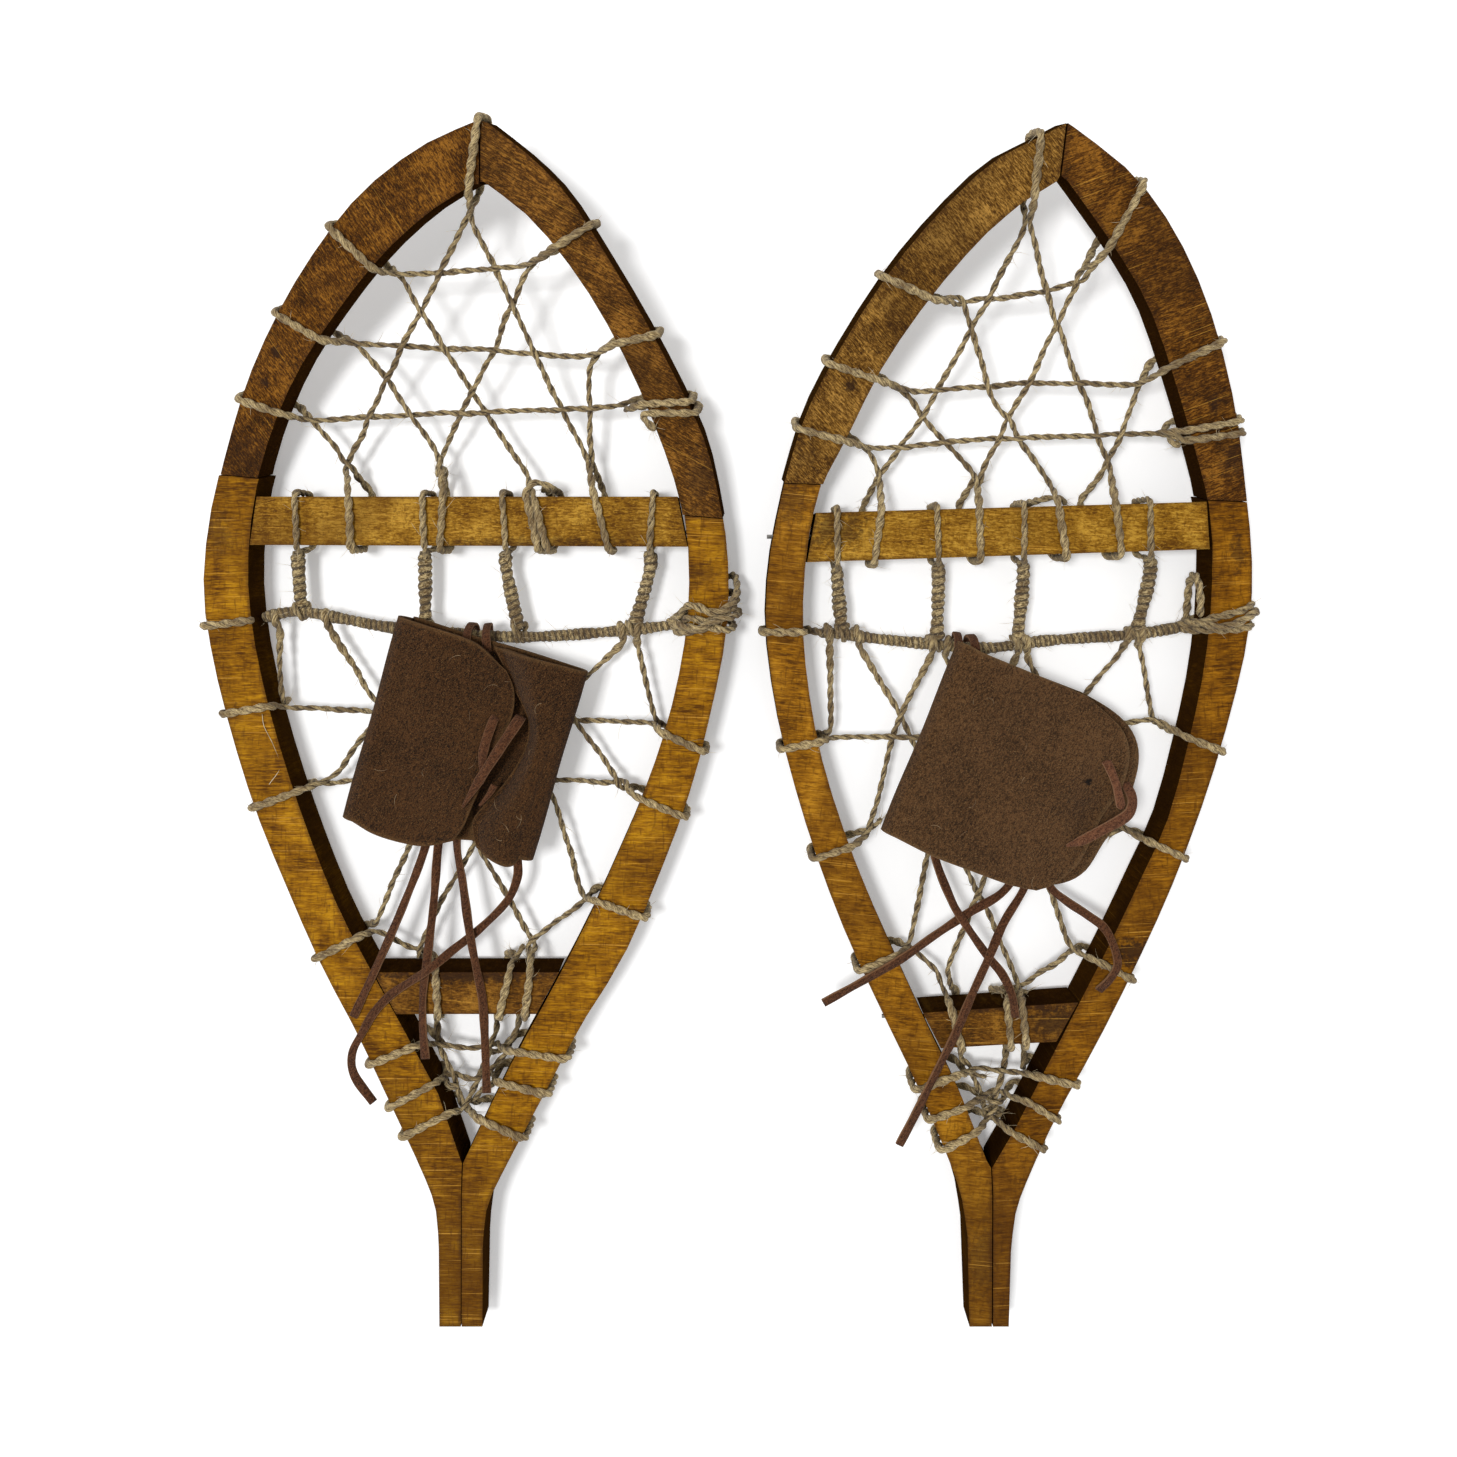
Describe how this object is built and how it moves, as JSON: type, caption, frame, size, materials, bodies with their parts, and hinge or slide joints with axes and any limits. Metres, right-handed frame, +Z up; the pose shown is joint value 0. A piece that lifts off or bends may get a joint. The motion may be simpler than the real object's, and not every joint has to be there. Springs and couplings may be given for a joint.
{
  "type": "decorative snowshoes",
  "caption": "Small decorative snowshoes side by side: glued wooden frames with upturned toes, twine lacing, and folded suede binding pockets tied on with laces.",
  "frame": {"origin": "on the ground under the middle of the pair", "axes": "+Y towards the upturned toes, +X towards the right snowshoe, +Z up"},
  "size_m": [0.3544, 0.4012, 0.0528],
  "materials": {
    "amber_wood": "stained, satin",
    "brown_wood": "stained, satin",
    "twine": "rough twisted jute",
    "suede": "napped suede",
    "lace": "napped suede lace",
    "steel": "plain"
  },
  "bodies": {
    "left_snowshoe": {"left_foot_rail_a": "amber_wood", "left_foot_rail_b": "amber_wood", "left_toe_bar": "amber_wood", "left_heel_bar": "amber_wood", "left_toe_rail_a": "brown_wood", "left_toe_rail_b": "brown_wood", "left_toe_bar_pin_a": "steel", "left_toe_bar_pin_b": "steel", "left_heel_bar_pin_a": "steel", "left_heel_bar_pin_b": "steel", "left_toe_net": "twine", "left_toe_cord": "twine", "left_foot_net": "twine", "left_tail_net": "twine", "left_lace_tail_1": "lace", "left_lace_tail_2": "lace", "left_lace_tail_3": "lace", "left_lace_tail_4": "lace"},
    "right_snowshoe": {"right_foot_rail_a": "amber_wood", "right_foot_rail_b": "amber_wood", "right_toe_bar": "amber_wood", "right_heel_bar": "amber_wood", "right_toe_rail_a": "brown_wood", "right_toe_rail_b": "brown_wood", "right_toe_bar_pin_a": "steel", "right_toe_bar_pin_b": "steel", "right_heel_bar_pin_a": "steel", "right_heel_bar_pin_b": "steel", "right_toe_net": "twine", "right_toe_cord": "twine", "right_foot_net": "twine", "right_tail_net": "twine", "right_lace_tail_1": "lace", "right_lace_tail_2": "lace", "right_lace_tail_3": "lace", "right_lace_tail_4": "lace"},
    "left_pocket": {"left_pocket_back": "suede", "left_toe_tie": "lace"},
    "left_flap_a": {"left_pocket_flap_a": "suede", "left_pocket_lace": "lace"},
    "left_flap_b": {"left_pocket_flap_b": "suede"},
    "right_pocket": {"right_pocket_back": "suede", "right_toe_tie": "lace"},
    "right_flap": {"right_pocket_flap": "suede", "right_pocket_lace": "lace"}
  },
  "joints": [
    {"name": "right_snowshoe_lift", "type": "slide", "parent": "left_snowshoe", "child": "right_snowshoe", "axis": [0, 0, 1], "range_m": [0, 0.15]},
    {"name": "left_pocket_tie", "type": "hinge", "parent": "left_snowshoe", "child": "left_pocket", "pos_m": [-0.08435, 0.03195, 0.01082], "axis": [-1, 0, 0], "range_deg": [0, 50]},
    {"name": "right_pocket_tie", "type": "hinge", "parent": "right_snowshoe", "child": "right_pocket", "pos_m": [0.08285, 0.02814, 0.01082], "axis": [-1, 0, 0], "range_deg": [0, 35]},
    {"name": "left_flap_a_fold", "type": "hinge", "parent": "left_pocket", "child": "left_flap_a", "pos_m": [-0.10956, 0.03874, 0.02412], "axis": [-0.2681, -0.9634, 0], "range_deg": [0, 150]},
    {"name": "left_flap_b_fold", "type": "hinge", "parent": "left_pocket", "child": "left_flap_b", "pos_m": [-0.06506, -0.04206, 0.02412], "axis": [0.2791, 0.9603, 0], "range_deg": [0, 150]},
    {"name": "right_flap_fold", "type": "hinge", "parent": "right_pocket", "child": "right_flap", "pos_m": [0.07555, 0.03044, 0.02412], "axis": [-0.3791, -0.9253, 0], "range_deg": [0, 150]}
  ]
}
